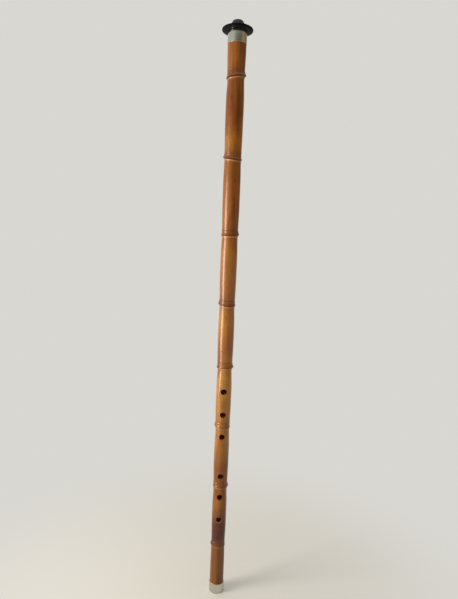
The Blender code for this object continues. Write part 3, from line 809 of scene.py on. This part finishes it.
profile += bend(profile[-1], (THROAT_RADIUS, (FUNNEL_FOOT + CONE_RIM) / 2), (mouth, CONE_RIM), 12)[:-1]
mouthpiece = turned("horn_mouthpiece", profile, RING_SIDES, black_horn())
mouthpiece.data.shade_smooth()
mouthpiece.data.set_sharp_from_angle(angle=math.radians(40))
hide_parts("mouthpiece")
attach(mouthpiece, "mouthpiece")


# The flute stands on a plain pale floor that fades into the pale room around it.
PALE = "#D9D7D1"
FLOOR_SIZE = 16.0
floor_material = bpy.data.materials.new("pale_floor")
floor_material.use_nodes = True
tree = floor_material.node_tree
tree.nodes.clear()
spot = add_node(tree, "ShaderNodeVectorMath", {
    0: add_node(tree, "ShaderNodeTexCoord").outputs["Object"]}, operation="LENGTH")
far = add_node(tree, "ShaderNodeMapRange", {
    "Value": spot.outputs["Value"], "From Min": 0.06, "From Max": 0.48}, interpolation_type="SMOOTHSTEP")
matt = add_node(tree, "ShaderNodeBsdfDiffuse", {"Color": linear(PALE)})
glow = add_node(tree, "ShaderNodeEmission", {"Color": linear(PALE), "Strength": 1.0})
path = add_node(tree, "ShaderNodeLightPath").outputs
looked = add_node(tree, "ShaderNodeMath", {0: path["Is Camera Ray"], 1: path["Is Glossy Ray"]},
                  operation="ADD")
looked = add_node(tree, "ShaderNodeMath", {0: looked, 1: path["Is Transmission Ray"]}, operation="ADD")
seen = add_node(tree, "ShaderNodeMath", {0: far, 1: looked}, operation="MULTIPLY")
blended = add_node(tree, "ShaderNodeMixShader", {0: seen, 1: matt, 2: glow})
add_node(tree, "ShaderNodeOutputMaterial", {"Surface": blended})
bpy.ops.mesh.primitive_plane_add(size=FLOOR_SIZE, location=(0, 0, -0.0002))
floor = bpy.context.active_object
floor.name = "floor"
floor.data.materials.append(floor_material)

world = bpy.data.worlds.new("pale_room")
bpy.context.scene.world = world
world.use_nodes = True
tree = world.node_tree
tree.nodes.clear()
facing = add_node(tree, "ShaderNodeTexCoord").outputs["Generated"]
# The room is palest to the left, dims behind the camera, and has a tan wall to the right.
PALEST_WAY = (-0.85, 0.35, 0.2)
TAN_WALL_WAY = (0.98, -0.2, 0.0)
towards = add_node(tree, "ShaderNodeVectorMath", {0: facing, 1: PALEST_WAY}, operation="DOT_PRODUCT")
depth = add_node(tree, "ShaderNodeMapRange", {
    "Value": towards.outputs["Value"], "From Min": -0.7, "From Max": 0.6}, interpolation_type="SMOOTHSTEP")
room = ramp(tree, depth, ((0.0, "#736C5E"), (0.2, "#7B796D"), (0.6, "#979993"), (1.0, "#CED1CB")))
across = add_node(tree, "ShaderNodeVectorMath", {0: facing, 1: TAN_WALL_WAY}, operation="DOT_PRODUCT")
tan = add_node(tree, "ShaderNodeMapRange", {
    "Value": across.outputs["Value"], "From Min": 0.8, "From Max": 0.97}, interpolation_type="SMOOTHSTEP")
room = add_node(tree, "ShaderNodeMix", {"Factor": tan, "A": room, "B": linear("#B08E6C")}, data_type="RGBA")
way = add_node(tree, "ShaderNodeSeparateXYZ", {0: facing}).outputs
ceiling = add_node(tree, "ShaderNodeMapRange", {
    "Value": way["Z"], "From Min": 0.35, "From Max": 0.8}, interpolation_type="SMOOTHSTEP")
room = add_node(tree, "ShaderNodeMix", {
    "Factor": ceiling, "A": room.outputs["Result"], "B": linear("#F2F0EA")}, data_type="RGBA")
# The camera sees the plain pale backdrop, and so do reflections of what lies straight behind.
behind = add_node(tree, "ShaderNodeMapRange", {
    "Value": way["Y"], "From Min": 0.5, "From Max": 1.0}, interpolation_type="SMOOTHSTEP")
path = add_node(tree, "ShaderNodeLightPath").outputs
mirrored = add_node(tree, "ShaderNodeMath", {0: path["Is Glossy Ray"], 1: path["Is Transmission Ray"]},
                    operation="ADD")
mirrored = add_node(tree, "ShaderNodeMath", {0: mirrored, 1: behind}, operation="MULTIPLY")
looked = add_node(tree, "ShaderNodeMath", {0: path["Is Camera Ray"], 1: mirrored}, operation="ADD")
pale = add_node(tree, "ShaderNodeMix", {
    "Factor": looked, "A": room.outputs["Result"], "B": linear(PALE)}, data_type="RGBA")
add_node(tree, "ShaderNodeOutputWorld", {"Surface": add_node(
    tree, "ShaderNodeBackground", {"Color": pale.outputs["Result"], "Strength": 1.0})})

# A tall window to the left gives the long highlight down the varnish.
WINDOW_PLACE = (-1.02, -0.41, 0.37)
WINDOW_SIZE = (0.44, 0.70)
WINDOW_POWER = 14.5
window_data = bpy.data.lights.new("window", "AREA")
window_data.shape = "RECTANGLE"
window_data.size, window_data.size_y = WINDOW_SIZE
window_data.energy = WINDOW_POWER
window_data.color = linear("#FFF6EA")[:3]
window = bpy.data.objects.new("window", window_data)
window.location = WINDOW_PLACE
to_flute = Vector((0, 0, WINDOW_PLACE[2])) - Vector(WINDOW_PLACE)
window.rotation_euler = to_flute.to_track_quat("-Z", "Y").to_euler()
window.visible_camera = False
bpy.context.scene.collection.objects.link(window)

# The camera stands at the photograph's place: in front, a little over half the reed's height,
# looking down a little and rolled so that the flute leans to the right at its top.
CAMERA_PLACE = (0.0024, -0.7065, 0.5241)
CAMERA_PITCH = 6.5
CAMERA_ROLL = 2.24
FOCAL_SHARE = 500 / 599
camera_data = bpy.data.cameras.new("camera")
camera_data.sensor_fit = "VERTICAL"
camera_data.sensor_height = 24.0
camera_data.lens = camera_data.sensor_height * FOCAL_SHARE
camera = bpy.data.objects.new("camera", camera_data)
camera.matrix_world = (
    Matrix.Translation(CAMERA_PLACE)
    @ Matrix.Rotation(math.radians(90 - CAMERA_PITCH), 4, "X")
    @ Matrix.Rotation(math.radians(CAMERA_ROLL), 4, "Z")
)
bpy.context.scene.collection.objects.link(camera)
bpy.context.scene.camera = camera
bpy.context.scene.view_settings.view_transform = "Standard"
